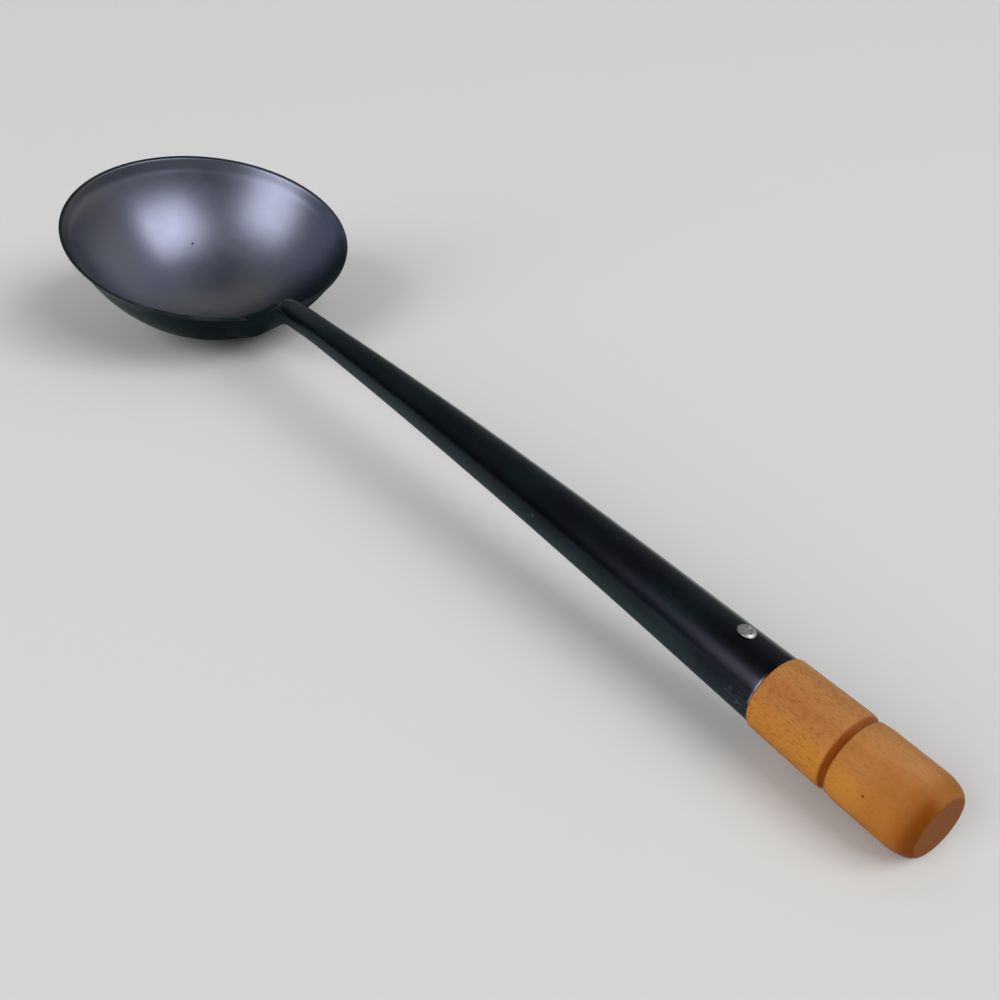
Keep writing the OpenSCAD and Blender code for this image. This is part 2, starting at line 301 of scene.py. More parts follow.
# handle: a sheet rolled into a tapered tube, coped onto the bowl, its seam open along the neck.
# S is a way along its centre line from the root, At an angle around that line from the top
handle = {
    "rootD": 8.5,
    "tubeD": 20.9,
    "wall": 1.2,
    "fullness": 0.14,
    "neckFull": 0.85,
    "neckFullAt": (70.0, 130.0),
    "neckFullFromS": (-6.0, 8.0),
    "neckFullToS": (14.0, 44.0),
    "rootZ": -3.4,
    "rootGap": 0.5,
    "neckMeet": 11.5,
    "neckL": 7.8,
    "neckBend": 28.0,
    "shankAngle": 13.3,
    "gripAngle": 9.3,
    "shankL": 213.5,
    "socketL": 40.0,
    "tongueS": 15.0,
    "tongueAt": (285.0, 345.0),
    "seamTop": 57.0,
    "seamDrop": 18.0,
    "seamDropS": (13.0, 26.0),
    "seamRise": 4.0,
    "seamRiseS": (34.0, 60.0),
    "seamOpen": 1.3,
    "seamStart": 8.0,
    "seamWidest": 17.0,
    "seamEnd": 43.0,
    "seamPast": 4.0,
    "hairline": 0.02,
    "edgeRound": 0.4,
    "endFlat": 0.5,
    "endBack": 0.2,
    "sharpTurn": 0.7,  # radians
    "columns": 150,
    "edgeColumns": 7,
    "neckRows": 60,
    "shankRows": 64,
    "endRows": 5,
    "settleFrom": 5.0,
    "settleSteps": 60,
    # its finish, with painted light on the tongue's top and painted shade under the neck and at its root
    "streakAt": 53.0,
    "streakWidth": 12.0,
    "streakS": (185.0, 272.0),
    "scuffAt": 93.0,
    "scuffWidth": 13.0,
    "scuffS": 271.5,
    "scuffLength": 4.5,
    "wornAt": 63.0,
    "wornWidth": 40.0,
    "wornEnd": (-0.55, -0.2),  # from the tube's end
    # pale: painted light on the tongue's top
    "paintedLightS": (22.0, 62.0),
    "paintedLightTop": (0.2, 0.95),  # by the cosine of the angle
    # the scale mark: painted shade under the neck and over its root
    "paintedShadeAt": (68.0, 112.0),
    "paintedShadeS": (14.0, 60.0),
    "paintedShadeLeast": 0.74,
    "paintedShadeRootS": (10.0, 14.0),
}
rootR = handle["rootD"] / 2
rootX = hollowC[0] + np.sqrt(hollowR**2 - (hollowC[2] - handle["rootZ"]) ** 2)
wallAngle = np.arcsin((rootX - hollowC[0]) / hollowR) * degree
leanCos = ((hollowR + handle["rootGap"]) * np.cos(handle["neckMeet"] / degree) - rootR) / hollowR
neckAngle = wallAngle - np.arccos(leanCos) * degree
bendS = handle["neckL"] + handle["neckBend"] * (neckAngle - handle["shankAngle"]) / degree
bowS = bendS + handle["shankL"]
tubeS = bowS + handle["socketL"]
bowR = handle["shankL"] * degree / (handle["shankAngle"] - handle["gripAngle"])
taper = (handle["tubeD"] / 2 - rootR) / tubeS


def heading(angle):
    # the direction of a slope, in x and in z
    return np.array([np.cos(angle / degree), np.sin(angle / degree)])


def arcStep(radius, fromAngle, toAngle):
    # from one slope to a lower one along an arc: the step in x and in z
    a, b = fromAngle / degree, toAngle / degree
    return radius * np.stack([np.sin(a) - np.sin(b), np.cos(b) - np.cos(a)], -1)


rootP = np.array([rootX, handle["rootZ"]])
bendP = rootP + handle["neckL"] * heading(neckAngle)
bowP = bendP + arcStep(handle["neckBend"], neckAngle, handle["shankAngle"])
socketP = bowP + arcStep(bowR, handle["shankAngle"], handle["gripAngle"])
jointP = socketP + handle["socketL"] * heading(handle["gripAngle"])


def lineAngle(s):
    # slope of the centre line: straight neck, tight bend, long gentle bow, straight socket
    bend = neckAngle - (s - handle["neckL"]) / handle["neckBend"] * degree
    bow = handle["shankAngle"] - (s - bendS) / bowR * degree
    spans = [s < handle["neckL"], s < bendS, s < bowS]
    return np.select(spans, [neckAngle + 0 * s, bend, bow], handle["gripAngle"])


def linePoint(s):
    # place on the centre line, from the start of the span that holds it
    angle = lineAngle(s)
    neck = rootP + s[..., None] * heading(neckAngle)
    bend = bendP + arcStep(handle["neckBend"], neckAngle, angle)
    bow = bowP + arcStep(bowR, handle["shankAngle"], angle)
    socket = socketP + (s - bowS)[..., None] * heading(handle["gripAngle"])
    spans = [(s < limit)[..., None] for limit in (handle["neckL"], bendS, bowS)]
    return np.select(spans, [neck, bend, bow], socket)


def tubeR(s):
    # an even taper, a little fuller halfway
    return rootR + taper * s + handle["fullness"] * np.sin(np.pi * s / tubeS)


def skinR(s, phi):
    # the neck's underside is fuller than its top: from its sides down, and less towards both ends
    under = ease(np.abs(turnFrom(phi * degree, 0)), *handle["neckFullAt"])
    return tubeR(s) + handle["neckFull"] * under * between(s, handle["neckFullFromS"], handle["neckFullToS"])


def aroundLine(s, phi, radius):
    # a point at the angle phi around the centre line, from the top towards -Y
    p, a = linePoint(s), lineAngle(s) / degree
    x = p[..., 0] - radius * np.cos(phi) * np.sin(a)
    return np.stack([x, -radius * np.sin(phi), p[..., 1] + radius * np.cos(phi) * np.cos(a)], -1)


def copeS(phi, inset):
    # where a straight side of the neck meets a sphere just outside the bowl: the farther root of a quadratic
    start = aroundLine(0 * phi, phi, rootR - inset) - hollowC
    step = aroundLine(0 * phi + 1, phi, rootR - inset + taper) - hollowC - start
    b, q = (step * start).sum(-1), (step * step).sum(-1)
    c = (start * start).sum(-1) - (hollowR + handle["rootGap"]) ** 2
    return (-b + np.sqrt(b * b - q * c)) / q


def tongueEdge(s):
    # angle of the sheet's upper edge: level along the neck, lower past its bend, a little higher after it
    drop = handle["seamDrop"] * ease(s, *handle["seamDropS"])
    return handle["seamTop"] + drop - handle["seamRise"] * ease(s, *handle["seamRiseS"])


def seamGap(s):
    # the seam widens from the bowl to the tongue's end and closes to a hairline past the bend
    widest = handle["seamWidest"]
    opening = between(s, (handle["seamStart"], widest), (widest, handle["seamEnd"]))
    return (handle["hairline"] + handle["seamOpen"] * opening) / tubeR(s) * degree


def sheetAngle(s, share):
    # from the lower edge at the seam round under the neck and over its top to the upper edge
    lower = tongueEdge(s) + seamGap(s)
    return lower + (360 - seamGap(s)) * share


def sheetStart(columnShare, inset):
    # where the sheet starts: on the bowl's wall, and at the tongue's end over the top.
    # The place changes the angle and the angle the place, so both settle by half steps
    start = handle["settleFrom"] + 0 * columnShare
    for _ in range(handle["settleSteps"]):
        angle = sheetAngle(start, columnShare)
        meet = copeS(angle / degree, inset * handle["wall"])
        tongue = ease(angle, *handle["tongueAt"])
        start = start + 0.5 * (meet + (handle["tongueS"] - meet) * tongue - start)
    return start


def tubeMarks(s, angle):
    # how much of each finish and of each painted light or shade a point has, by its way along the centre line
    # and its angle around it
    streak = bell(turnFrom(angle, handle["streakAt"]), handle["streakWidth"]) * ease(s, *handle["streakS"])
    scuff = bell(turnFrom(angle, handle["scuffAt"]), handle["scuffWidth"])
    scuff = scuff * bell(s - handle["scuffS"], handle["scuffLength"])
    worn = bell(turnFrom(angle, handle["wornAt"]), handle["wornWidth"]) * ease(s - tubeS, *handle["wornEnd"])
    # painted light on the tongue's top, fading along the neck
    pale = (1 - ease(s, *handle["paintedLightS"])) * ease(np.cos(angle / degree), *handle["paintedLightTop"])
    # the scale mark: painted shade under the tube, strongest along the neck, and over the whole root
    under = ease(np.abs(turnFrom(angle, 0)), *handle["paintedShadeAt"])
    under = under * np.maximum(handle["paintedShadeLeast"], 1 - ease(s, *handle["paintedShadeS"]))
    scale = np.maximum(under, 1 - ease(s, *handle["paintedShadeRootS"]))
    return {"along": s, "streak": streak, "scuff": scuff, "worn": worn, "pale": pale, "scale": scale}


def makeTube():
    # each row is a closed loop round the sheet:
    # outer skin, rounded upper edge, inner skin back, rounded lower edge
    share = np.linspace(0, 1, handle["columns"])
    across = np.linspace(0, 1, handle["edgeColumns"])[1:-1]
    one = 0 * across + 1
    columnShare = np.concatenate([share, one, share[::-1], 0 * one])[None, :]
    inset = np.concatenate([0 * share, across, 0 * share + 1, 1 - across])[None, :]
    bulge = np.sin(np.pi * across) * handle["edgeRound"]
    past = np.concatenate([0 * share, bulge, 0 * share, -bulge])[None, :]
    start = sheetStart(columnShare, inset)
    openS = handle["seamEnd"] + handle["seamPast"]
    near = np.linspace(0, 1, handle["neckRows"], endpoint=False)[:, None]
    far = np.linspace(0, 1, handle["shankRows"])[:, None]
    s = stitch(start + (openS - start) * near, openS + (tubeS - openS) * far + 0 * start)
    cap = np.sin(np.linspace(0, np.pi / 2, handle["endRows"])[:-1])[:, None]
    back = handle["edgeRound"] * np.sqrt(1 - cap**2)
    s = stitch(s[:1] - back, s, s[-1:] + (back[::-1] - handle["edgeRound"]) * handle["endFlat"])
    last = len(s) - len(cap) - 1  # the last plain row moves back, to make room for the end's round
    s[last] = s[last - 1] * handle["endBack"] + s[last] * (1 - handle["endBack"])
    full = stitch(cap, 0 * near + 1, 0 * far + 1, cap[::-1])
    depth = handle["wall"] * (0.5 + (inset - 0.5) * full)
    angle = sheetAngle(s, columnShare) + past * full / tubeR(s) * degree
    points = aroundLine(s, angle / degree, skinR(s, angle / degree) - depth)
    outer, inner = points[0, : share.size], points[0, share.size + one.size : -one.size][::-1]
    lip = (outer + inner) / 2  # at the cope both skins end in one line
    points[0] = stitch(lip, lip[-1:] + 0 * one[:, None], lip[::-1], lip[:1] + 0 * one[:, None])
    piece = skinPiece("rolledTube", atRest(points), marks=tubeMarks(s, angle))
    piece.data.set_sharp_from_angle(angle=handle["sharpTurn"])
    return piece


# fillet: the welded sheet that carries the neck's sides and underside into the bowl's wall
fillet = {
    "start": 40.0,
    "end": 301.0,
    "neckLeg": 9.0,
    "bowlLeg": 16.0,
    "endLeg": 0.45,
    "sideLeg": 3.0,
    "sideFrom": 98.0,
    "sideTo": 262.0,
    "sideSpan": 36.0,
    "sideHold": 0.94,
    "pull": 0.44,
    "belly": 2.4,
    "bellyAt": 161.0,
    "bellyWidth": 21.0,
    "lift": 0.03,
    "thick": 0.9,
    "thinEnd": 0.05,
    "steps": 96,
    "curve": 18,
}


def unit(v):
    return v / np.linalg.norm(v, axis=-1, keepdims=True)


def levelWith(v, normal):
    # the direction of v along a wall with that normal
    return unit(v - (v * normal).sum(-1, keepdims=True) * normal)


def straightOut(s, phi):
    # the direction away from the centre line at the angle phi
    return aroundLine(s, phi, 1 + 0 * s) - aroundLine(s, phi, 0 * s)


def cubic(u, start, leave, arrive, end):
    # a cubic curve from start to end, led by two points between them
    first = (1 - u) ** 3 * start + 3 * u * (1 - u) ** 2 * leave
    return first + 3 * u * u * (1 - u) * arrive + u**3 * end


def makeFillet():
    # each section is a cubic curve that leaves the neck along it and reaches the bowl's wall along that,
    # swollen under the neck's near side, and the same curve back, one sheet deeper
    t = np.linspace(0, 1, fillet["steps"])
    phi = (fillet["start"] + (fillet["end"] - fillet["start"]) * t) / degree
    s = copeS(phi, 0)
    swell = fillet["endLeg"] + (1 - fillet["endLeg"]) * np.sin(np.pi * t)
    sNeck = s + fillet["neckLeg"] * swell
    onNeck = aroundLine(sNeck, phi, skinR(sNeck, phi) + fillet["lift"])
    corner = aroundLine(s, phi, skinR(s, phi))
    # past the neck's sides the feet stay nearly at the sides' angle and reach farther down the wall
    past = phi - np.clip(phi, fillet["sideFrom"] / degree, fillet["sideTo"] / degree)
    low = phi - fillet["sideHold"] * past
    sLow = copeS(low, 0)
    root = aroundLine(sLow, low, tubeR(sLow))
    down = levelWith(straightOut(sLow, low), unit(root - hollowC))
    reach = fillet["bowlLeg"] * swell
    reach = reach + fillet["sideLeg"] * ease(np.abs(past) * degree, 0, fillet["sideSpan"])
    foot = hollowC + (hollowR + fillet["lift"]) * unit(root + reach[:, None] * down - hollowC)
    wall = unit(foot - hollowC)
    rise = corner - foot
    level = levelWith(rise, wall) * np.linalg.norm(rise, axis=-1, keepdims=True)
    fromNeck, fromWall = onNeck + fillet["pull"] * (corner - onNeck), foot + fillet["pull"] * level
    u = np.linspace(0, 1, fillet["curve"])[:, None, None]
    belly = fillet["belly"] * bell(phi * degree - fillet["bellyAt"], fillet["bellyWidth"])[:, None]
    arc = cubic(u, onNeck, fromNeck, fromWall, foot) + belly * np.sin(np.pi * u) ** 2 * wall
    facing = (1 - u) * straightOut(s, phi) + u * wall
    thinned = np.clip(np.minimum(t, 1 - t) / fillet["thinEnd"], 0, 1)[:, None]  # towards both ends
    ring = stitch(arc, (arc - fillet["thick"] * thinned * facing)[::-1])
    # the scale mark: the whole fillet is painted as shade
    marks = {"scale": 1 + 0 * ring[..., 0]}
    return skinPiece("neckFillet", atRest(ring), closeRows=True, closeColumns=False, marks=marks)


# grip: turned beech with a tenon inside the tube, a front half, a groove, a rear half and a rounded end
grip = {
    "frontR": 11.05,
    "rearR": 11.55,
    "length": 52.9,
    "gap": 0.05,
    "groovePos": 25.9,
    "grooveDepth": 0.85,
    "grooveHalf": 1.2,
    "groovePower": 2.8,
    "easeRear": (0.35, 1.2, 1.9),  # depth, way past the groove, and width
    "easeFront": (0.1, -1.4, 1.0),
    "endR": 3.3,
    "endL": 7.0,
    "shoulderR": 0.8,
    "tenonL": 32.0,
    "tenonR": 9.15,
    "tenonChamfer": 0.8,
    "tenonRows": 12,
    "roundRows": 16,
    "bodyRows": 190,
    "endRows": 24,
    "sides": 160,
    "pit": (37.8, 73.8),  # distance from the joint, and angle from the top
}


def fromJoint(t, side, up):
    # a point t past the joint along the grip's axis, to the side of it towards -Y and up from it
    a = handle["gripAngle"] / degree
    x = jointP[0] + t * np.cos(a) - up * np.sin(a)
    z = jointP[1] + t * np.sin(a) + up * np.cos(a)
    return atRest(np.stack([x, -side, z], -1))


def pressed(t, depth, past, width):
    # a shallow hollow of that depth and width, past a place
    return depth * bell(t - past, width)


def makeGrip():
    # radius over length, turned about the axis: tenon, shoulder, a slow swell to the groove,
    # a plain rear half, a round onto the flat end
    quarter = np.linspace(0, np.pi / 2, grip["roundRows"])
    tenonT = np.linspace(-grip["tenonL"], grip["gap"], grip["tenonRows"])
    tenon = np.stack([tenonT, grip["tenonR"] + taper * tenonT], -1)
    tenon[0, 1] -= grip["tenonChamfer"]
    shoulderT = grip["gap"] + grip["shoulderR"] * (1 - np.cos(quarter))
    shoulder = np.stack([shoulderT, grip["frontR"] - grip["shoulderR"] * (1 - np.sin(quarter))], -1)
    last = grip["gap"] + grip["length"]
    bodyT = np.linspace(grip["gap"] + grip["shoulderR"], last - grip["endL"], grip["bodyRows"])[1:]
    groove = grip["gap"] + grip["groovePos"]
    base = np.interp(bodyT, [grip["gap"], groove], [grip["frontR"], grip["rearR"]])
    away = bodyT - groove
    cut = grip["grooveDepth"] * np.exp(-np.abs(away / grip["grooveHalf"]) ** grip["groovePower"])
    eased = pressed(away, *grip["easeRear"]) + pressed(away, *grip["easeFront"])
    body = np.stack([bodyT, base - np.maximum(cut, eased)], -1)
    roundT = last - grip["endL"] * (1 - np.sin(quarter))
    roundEnd = np.stack([roundT, grip["rearR"] - grip["endR"] * (1 - np.cos(quarter))], -1)[1:]
    flatR = np.linspace(grip["rearR"] - grip["endR"], 0, grip["endRows"])[1:]
    flat = np.stack([last + 0 * flatR, flatR], -1)
    profile = stitch(np.array([[-grip["tenonL"], 0.0]]), tenon, shoulder, body, roundEnd, flat)
    turn = np.linspace(0, 2 * np.pi, grip["sides"], endpoint=False)[None, :]
    t, r = profile[:, :1], profile[:, 1:]
    points = fromJoint(t, r * np.sin(turn), r * np.cos(turn))
    return skinPiece("turnedGrip", points, marks={"along": t + 0 * turn})


def gripPit():
    # where the small pit lies: on the grip's rear half, at its distance and angle
    t, angle = grip["pit"][0], np.radians(grip["pit"][1])
    return fromJoint(t, grip["rearR"] * np.sin(angle), grip["rearR"] * np.cos(angle))


# nail: a hammered round head a little off the tube's top, over a plain shank
nail = {
    "pos": 13.9,
    "lean": -3.4,
    "seatGap": 0.05,
    "headD": 5.35,
    "headH": 0.95,
    "headPower": 5,
    "headSpread": 1.1,
    "edgeShare": 0.12,
    "uneven": (0.03, 0.05),  # by the cosine of the angle, and of twice the angle
    "unevenThird": 0.02,  # by the sine of three times the angle
    "shankD": 2.4,
    "shankL": 13.0,
    "pointL": 1.5,
    "pointShare": 0.12,
    "headRows": 34,
    "skirtRows": 4,
    "sides": 72,
    "dents": 7,
    "dentSpread": 0.5,
    "dentSize": (0.3, 0.6),
    "dentDepth": (0.1, 0.3),
    "seed": 11,
}


def makeNail():
    # a flat head pressed in at a few seeded places, with an uneven edge, closed by its shank below
    rng = np.random.default_rng(nail["seed"])
    turn = np.linspace(0, 2 * np.pi, nail["sides"], endpoint=False)[None, :]
    headR = nail["headD"] / 2
    seat = tubeR(tubeS - nail["pos"] + headR) + nail["seatGap"]
    share = np.linspace(0, 1, nail["headRows"])[:, None]
    once, twice = nail["uneven"]
    uneven = 1 + twice * np.cos(2 * turn) + once * np.cos(turn) + nail["unevenThird"] * np.sin(3 * turn)
    r = headR * np.sin(share * np.pi / 2) * uneven
    crown = 1 - (r / headR / nail["headSpread"]) ** nail["headPower"]
    high = nail["headH"] * crown.clip(nail["edgeShare"])
    x, y = r * np.cos(turn), r * np.sin(turn)
    places = rng.uniform(-nail["dentSpread"], nail["dentSpread"], (nail["dents"], 2)) * headR
    sizes = rng.uniform(*nail["dentSize"], nail["dents"])
    depths = rng.uniform(*nail["dentDepth"], nail["dents"])
    reach = np.hypot(x[..., None] - places[:, 0], y[..., None] - places[:, 1])
    high = high - (depths * bell(reach, sizes)).sum(-1)
    skirt = np.linspace(1, 0, nail["skirtRows"])[1:, None] * high[-1:]
    length = nail["shankL"]
    low = np.array([[0.0], [nail["pointL"] - length], [-length], [-length]])
    lowR = np.array([[1.0], [1.0], [nail["pointShare"]], [0.0]]) * (nail["shankD"] / 2 + 0 * turn)
    radius = stitch(r, r[-1:] + 0 * skirt, lowR)
    height = seat + stitch(high, skirt, low + 0 * turn)
    lean = nail["lean"] / degree
    t, across = radius * np.cos(turn) - nail["pos"], radius * np.sin(turn)
    up = height * np.cos(lean) - across * np.sin(lean)
    side = height * np.sin(lean) + across * np.cos(lean)
    return skinPiece("nailHead", fromJoint(t, side, up))


class Wire:
    # wraps a node's output, so that shader maths reads as an expression
    def __init__(self, tree, socket=None):
        self.tree, self.socket = tree, socket

    def node(self, kind, settings, inputs, output=0):
        # adds a node, sets its settings first, then gives its sockets their values or links
        added = self.tree.nodes.new(kind)
        for key, value in settings.items():
            setattr(added, key, value)
        for key, value in inputs.items():
            if isinstance(value, Wire):
                self.tree.links.new(value.socket, added.inputs[key])
            else:
                added.inputs[key].default_value = value
        return Wire(self.tree, added.outputs[output])

    def math(self, operation, *values):
        return self.node("ShaderNodeMath", {"operation": operation}, dict(enumerate(values)))

    def __add__(self, other):
        return self.math("ADD", self, other)

    def __radd__(self, other):
        return self.math("ADD", other, self)

    def __sub__(self, other):
        return self.math("SUBTRACT", self, other)

    def __rsub__(self, other):
        return self.math("SUBTRACT", other, self)

    def __mul__(self, other):
        return self.math("MULTIPLY", self, other)

    def __rmul__(self, other):
        return self.math("MULTIPLY", other, self)

    def span(self, low, high):
        # zero at low, one at high, smooth between
        settings = {"interpolation_type": "SMOOTHSTEP"}
        return self.node("ShaderNodeMapRange", settings, {0: self, 1: low, 2: high})

    def blend(self, a, b):
        # colour a where this value is zero, colour b where it is one
        return self.node("ShaderNodeMix", {"data_type": "RGBA"}, {0: self, 6: a, 7: b}, 2)

    def sway(self, amount):
        # this value, which lies around a half, as a change of up to that much either way
        return (self - 0.5) * amount

    def part(self, axis):
        return self.node("ShaderNodeSeparateXYZ", {}, {0: self}, axis)


def colour(red, green, blue):
    return (red, green, blue, 1.0)


def newFinish(name):
    # an empty finish: its material, its principled node, a wire to build from, and its object coordinates
    material = bpy.data.materials.new(name)
    material.use_nodes = True
    tree = material.node_tree
    wire = Wire(tree)
    place = wire.node("ShaderNodeTexCoord", {}, {}, "Object")
    return material, tree.nodes["Principled BSDF"], wire, place


def setFinish(wire, shader, constants, links):
    for key, value in constants.items():
        shader.inputs[key].default_value = value
    for key, value in links.items():
        wire.tree.links.new(value.socket, shader.inputs[key])


def noise(wire, place, scale, detail, rough=0.5):
    inputs = {"Vector": place, "Scale": scale, "Detail": detail, "Roughness": rough}
    return wire.node("ShaderNodeTexNoise", {}, inputs, 0)


def mapped(wire, place, turn, scale):
    # turns about Y and stretches
    return wire.node("ShaderNodeMapping", {"vector_type": "POINT"}, {0: place, 2: (0, turn, 0), 3: scale})


def mark(wire, name):
    return wire.node("ShaderNodeAttribute", {"attribute_name": name}, {}, "Fac")


def bump(wire, height, strength, distance):
    inputs = {"Height": height, "Strength": strength, "Distance": distance}
    return wire.node("ShaderNodeBump", {}, inputs)


def distance(wire, a, b):
    return wire.node("ShaderNodeVectorMath", {"operation": "DISTANCE"}, {0: a, 1: tuple(b)}, 1)


def nearTo(wire, place, spot, low, high):
    # one at the spot, falling to zero between the two distances in metres
    return 1 - distance(wire, place, spot).span(low, high)


# the looks hold colours, shares of one colour over another, spans, each noise's scale, detail and roughness,
# and each bump's strength and distance. Along spans are in mm, other lengths in metres, and turns in radians
bluedLook = {
    "lavender": colour(0.165, 0.177, 0.238),
    "greyBrown": colour(0.236, 0.231, 0.245),
    "dark": colour(0.020, 0.029, 0.033),
    "black": colour(0.016, 0.024, 0.025),
    "wornEdgeAndGlint": colour(0.34, 0.34, 0.36),
    "warmReflection": colour(0.20, 0.177, 0.160),
    "paintedShade": colour(0.006, 0.011, 0.012),
    "edgeTint": colour(0.66, 0.70, 0.70),
    "cloud": (22, 2),
    "fine": (900, 4, 0.7),
    "mottle": (130, 3, 0.6),
    "wear": (60, 2),
    "wearSpan": (0.45, 0.7),
    "wearShare": 0.7,
    "greyShare": 0.85,
    "greySway": 0.4,
    "greySpan": (0.1, 0.9),
    "darkShare": 0.95,
    "darkSway": 0.2,
    "insideSpan": (0.3, 0.7),
    "warmSpan": (0.0, 0.7),
    "paintedShadeShare": 0.85,
    "pitSpan": (0.0004, 0.0009),
    "pitShare": 0.8,
    "roughInside": 0.37,
    "roughOutside": 0.30,
    "roughFine": 0.08,
    "roughMottle": 0.10,
    "bump": (0.06, 0.0004),
}


def bluedSteel():
    # inside lavender turning grey and then dark (partly painted dark reflection and shade), outside black,
    # with painted shade by the neck, a painted table reflection and worn places with a painted glint
    material, shader, wire, place = newFinish("bluedSteel")
    look = bluedLook
    cloud = noise(wire, place, *look["cloud"])
    fine = noise(wire, place, *look["fine"])
    mottle = noise(wire, place, *look["mottle"])
    inside = mark(wire, "inside")
    scale = mark(wire, "scale")
    tone = mark(wire, "grey") * look["greyShare"] + cloud.sway(look["greySway"])
    inner = tone.span(*look["greySpan"]).blend(look["lavender"], look["greyBrown"])
    dark = mark(wire, "dark") * (look["darkShare"] + mottle.sway(look["darkSway"]))
    # the dark mark: the handle side's own darker tone mixed with painted dark reflection, and painted shade
    # at the rim
    inner = dark.blend(inner, look["dark"])
    skin = inside.span(*look["insideSpan"]).blend(look["black"], inner)
    # the scale mark: painted shade by the neck
    skin = (scale * look["paintedShadeShare"]).blend(skin, look["paintedShade"])
    # the painted warm reflection of the table
    skin = (mark(wire, "warmReflection") * mottle.span(*look["warmSpan"])).blend(skin, look["warmReflection"])
    # real wear along the rim and the painted glint beside the neck
    worn = mark(wire, "worn") * noise(wire, place, *look["wear"]).span(*look["wearSpan"])
    skin = (worn * look["wearShare"]).blend(skin, look["wornEdgeAndGlint"])
    pit = nearTo(wire, place, pitPlace(), *look["pitSpan"])
    skin = (pit * look["pitShare"]).blend(skin, look["black"])
    rough = look["roughOutside"] + inside * (look["roughInside"] - look["roughOutside"])
    rough = rough + fine.sway(look["roughFine"]) + mottle.sway(look["roughMottle"])
    # where the shade is painted, the skin is also made less metallic
    links = {"Base Color": skin, "Metallic": 1 - scale * look["paintedShadeShare"], "Roughness": rough}
    links["Normal"] = bump(wire, fine, *look["bump"])
    setFinish(wire, shader, {"Specular IOR Level": 0.0, "Specular Tint": look["edgeTint"]}, links)
    return material


blackLook = {
    "teal": colour(0.020, 0.036, 0.039),
    "blue": colour(0.016, 0.025, 0.036),
    "plum": colour(0.016, 0.018, 0.023),
    "violet": colour(0.105, 0.104, 0.150),
    "pale": colour(0.075, 0.082, 0.090),
    "bare": colour(0.42, 0.43, 0.45),
    "paintedShade": colour(0.006, 0.011, 0.012),
    "edgeTint": colour(0.84, 0.87, 0.87),
    "streakTurn": 0.04,
    "streakScale": (10, 90, 90),
    "streaks": (1, 3),
    "cloud": (40, 3),
    "fine": (1100, 4, 0.7),
    "streakShare": 0.6,
    "tintSpan": (0.38, 0.62),
    "plumAlong": (60, 170),
    "plumCloud": (0.2, 0.6),
    "plumScale": (0.1, 0.6),
    "paintedShadeSpan": (0.6, 1.0),
    "paintedShadeShare": 0.85,
    "paintedLightShare": 0.8,
    "violetLeast": 0.55,
    "violetStreaks": 0.6,
    "specks": (800, 1),
    "speckSpan": (0.76, 0.82),
    "speckShare": 0.22,
    "scratchTurn": 0.6,
    "scratchScale": (700, 2500, 1800),
    "scratch": (1, 2),
    "scratchSpan": (0.52, 0.62),
    "scratchShare": 0.13,
    "wear": (300, 2),
    "wearSpan": (0.4, 0.6),
    "rough": 0.24,
    "roughCloud": 0.12,
    "roughFine": 0.1,
    "bump": (0.05, 0.0004),
}


def blackSteel():
    # teal and blue in streaks, plum along the shank, painted shade below and at the neck,
    # painted light on the tongue's top, and a violet streak by the grip
    material, shader, wire, place = newFinish("blackSteel")
    look = blackLook
    streaks = noise(wire, mapped(wire, place, look["streakTurn"], look["streakScale"]), *look["streaks"])
    cloud = noise(wire, place, *look["cloud"])
    fine = noise(wire, place, *look["fine"])
    scale = mark(wire, "scale")
    tint = streaks * look["streakShare"] + cloud * (1 - look["streakShare"])
    tint = tint.span(*look["tintSpan"]).blend(look["teal"], look["blue"])
    far = mark(wire, "along").span(*look["plumAlong"]) * cloud.span(*look["plumCloud"])
    tint = (far * (1 - scale.span(*look["plumScale"]))).blend(tint, look["plum"])
    # the scale mark: painted shade under the tube and at the neck
    tint = (scale.span(*look["paintedShadeSpan"]) * look["paintedShadeShare"]).blend(tint, look["paintedShade"])
    # painted light on the tongue's top
    tint = (mark(wire, "pale") * look["paintedLightShare"]).blend(tint, look["pale"])
    violet = mark(wire, "streak") * (look["violetLeast"] + streaks * look["violetStreaks"])
    tint = violet.blend(tint, look["violet"])
    specks = noise(wire, place, *look["specks"]).span(*look["speckSpan"])
    scratch = noise(wire, mapped(wire, place, look["scratchTurn"], look["scratchScale"]), *look["scratch"])
    scuff = mark(wire, "scuff") * scratch.span(*look["scratchSpan"])
    bare = specks * look["speckShare"] + scuff * look["scratchShare"]
    bare = bare + mark(wire, "worn") * noise(wire, place, *look["wear"]).span(*look["wearSpan"])
    tint = bare.blend(tint, look["bare"])
    rough = look["rough"] + cloud.sway(look["roughCloud"]) + fine.sway(look["roughFine"])
    # where the shade is painted, the skin is also made less metallic
    links = {"Base Color": tint, "Metallic": 1 - scale * look["paintedShadeShare"], "Roughness": rough}
    links["Normal"] = bump(wire, fine, *look["bump"])
    setFinish(wire, shader, {"Specular IOR Level": 0.0, "Specular Tint": look["edgeTint"]}, links)
    return material


